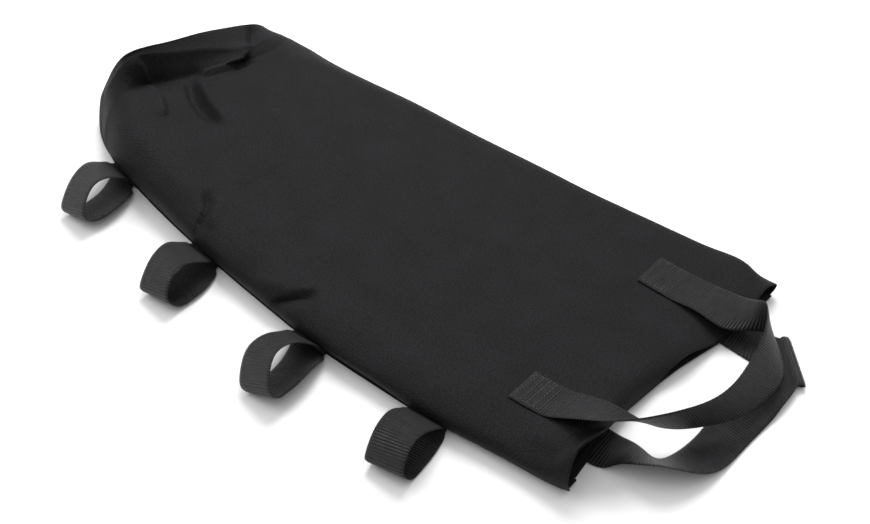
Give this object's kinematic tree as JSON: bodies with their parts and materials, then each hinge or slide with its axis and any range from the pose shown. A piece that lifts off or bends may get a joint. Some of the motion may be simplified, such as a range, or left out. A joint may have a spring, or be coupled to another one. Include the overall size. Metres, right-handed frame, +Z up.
{
  "type": "flat webbing-handled cloth bag",
  "caption": "Empty woven cloth bag with a puffed closed end, an open mouth with webbing carrying handles, and webbing loops sewn along one side seam",
  "frame": {"origin": "under the middle of the bag's length and close to the middle of its width, on the surface that the bag lies on", "axes": "+X along the bag towards the open mouth, +Y across the bag away from the loops, +Z up"},
  "size_m": [0.7034, 0.3822, 0.0805],
  "materials": {
    "cloth": "matte black woven polyester with a faint cool sheen",
    "cloth_inside": "matte black woven polyester, inner face",
    "binding_tape": "matte black woven tape",
    "webbing": "black ribbed polypropylene webbing with a soft shine on the ribs",
    "thread": "black bonded sewing thread, slightly glossy"
  },
  "bodies": {
    "bag": {"front_panel": "cloth", "back_panel": "cloth", "base_panel": "cloth", "front_hem": "cloth_inside", "back_hem": "cloth_inside", "front_near_reinforcement": "cloth_inside", "front_far_reinforcement": "cloth_inside", "back_near_reinforcement": "cloth_inside", "back_far_reinforcement": "cloth_inside", "side_seam_binding": "binding_tape", "base_seam_binding": "binding_tape", "loop_1_tail": "webbing", "loop_2_tail": "webbing", "loop_3_tail": "webbing", "loop_4_tail": "webbing", "front_handle_near_end": "webbing", "front_handle_far_end": "webbing", "back_handle_near_end": "webbing", "back_handle_far_end": "webbing", "front_handle_stitching": "thread", "back_handle_stitching": "thread", "hem_stitching": "thread", "base_seam_stitching": "thread", "side_seam_stitching": "thread", "loop_bar_tacks": "thread"},
    "front_handle_strap": {"front_handle": "webbing"},
    "back_handle_strap": {"back_handle": "webbing"},
    "loop_1_strap": {"loop_1": "webbing"},
    "loop_2_strap": {"loop_2": "webbing"},
    "loop_3_strap": {"loop_3": "webbing"},
    "loop_4_strap": {"loop_4": "webbing"}
  },
  "joints": [
    {"name": "front_handle_swing", "type": "hinge", "parent": "bag", "child": "front_handle_strap", "pos_m": [0.256, -0.00632, 0.02313], "axis": [0, -0.997, 0.0775], "range_deg": [0, 128]},
    {"name": "back_handle_swing", "type": "hinge", "parent": "bag", "child": "back_handle_strap", "pos_m": [0.256, -0.0065, 0.00055], "axis": [0, 1, 0], "range_deg": [0, 145]},
    {"name": "loop_1_swing", "type": "hinge", "parent": "bag", "child": "loop_1_strap", "pos_m": [-0.231, -0.11773, 0.0031], "axis": [-0.972, 0.2351, 0], "range_deg": [0, 12]},
    {"name": "loop_2_swing", "type": "hinge", "parent": "bag", "child": "loop_2_strap", "pos_m": [-0.094, -0.14421, 0.0031], "axis": [-0.9886, 0.1504, 0], "range_deg": [0, 13]},
    {"name": "loop_3_swing", "type": "hinge", "parent": "bag", "child": "loop_3_strap", "pos_m": [0.0485, -0.16047, 0.0031], "axis": [-0.9985, 0.0549, 0], "range_deg": [0, 8]},
    {"name": "loop_4_swing", "type": "hinge", "parent": "bag", "child": "loop_4_strap", "pos_m": [0.178, -0.1581, 0.00456], "axis": [-0.9989, -0.0479, 0], "range_deg": [0, 17]}
  ]
}
